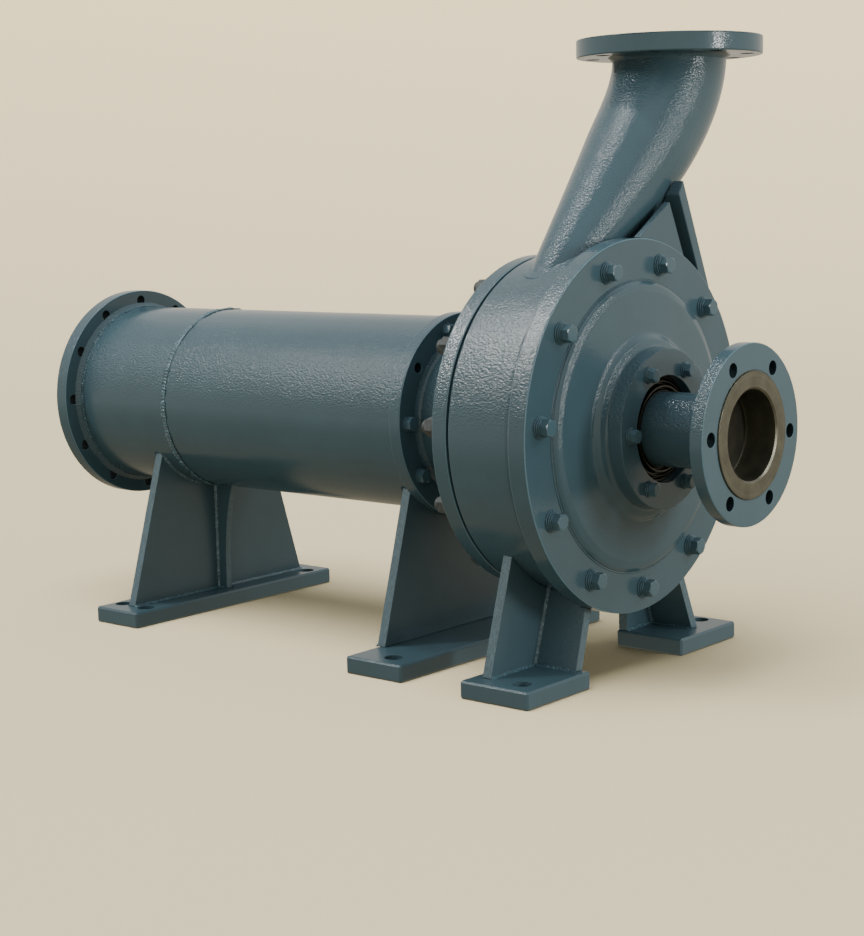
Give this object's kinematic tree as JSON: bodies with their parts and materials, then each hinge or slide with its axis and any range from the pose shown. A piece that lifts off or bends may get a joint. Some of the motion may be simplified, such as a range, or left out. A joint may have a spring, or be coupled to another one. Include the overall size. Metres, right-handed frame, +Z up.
{
  "type": "axial flow pump",
  "caption": "Horizontal fabricated axial flow pump: flanged column tube, round casing, bent discharge nozzle, coupling flange and welded feet.",
  "frame": {"origin": "middle of the footprint box, on the floor the feet stand on", "axes": "+X along the pump's axis towards the coupling flange, +Z up, discharge flange facing +Z on the +Y side"},
  "size_m": [1.2894, 0.6442, 0.9375],
  "materials": {
    "blue_grey_paint": "satin blue-grey enamel over steel",
    "machined_steel": "bare turned steel, slightly brown",
    "gland_bronze": "dark bronze",
    "gasket_rubber": "black rubber"
  },
  "bodies": {
    "pump_body": {"rear_flange": "blue_grey_paint", "rear_spool": "blue_grey_paint", "column_tube": "blue_grey_paint", "column_front_flange": "blue_grey_paint", "neck_pipe": "blue_grey_paint", "casing_rear_plate": "blue_grey_paint", "casing_gasket": "gasket_rubber", "casing_drum": "blue_grey_paint", "casing_front_flange": "blue_grey_paint", "front_cover": "blue_grey_paint", "gland_ring": "gland_bronze", "discharge_nozzle": "blue_grey_paint", "nozzle_middle": "blue_grey_paint", "nozzle_root": "blue_grey_paint", "discharge_flange": "blue_grey_paint", "gusset_front_plate": "blue_grey_paint", "gusset_slant_plate": "blue_grey_paint", "rear_support_base": "blue_grey_paint", "rear_support_web": "blue_grey_paint", "rear_support_rib": "blue_grey_paint", "mid_support_base": "blue_grey_paint", "mid_support_web": "blue_grey_paint", "left_foot_base": "blue_grey_paint", "left_foot_cross_web": "blue_grey_paint", "left_foot_long_web": "blue_grey_paint", "right_foot_base": "blue_grey_paint", "right_foot_cross_web": "blue_grey_paint", "right_foot_long_web": "blue_grey_paint"},
    "drive_shaft": {"shaft_sleeve": "blue_grey_paint", "coupling_flange": "blue_grey_paint"}
  },
  "joints": [
    {"name": "shaft_spin", "type": "hinge", "parent": "pump_body", "child": "drive_shaft", "pos_m": [0.5, -0.04905, 0.367], "axis": [1, 0, 0], "continuous": true}
  ]
}
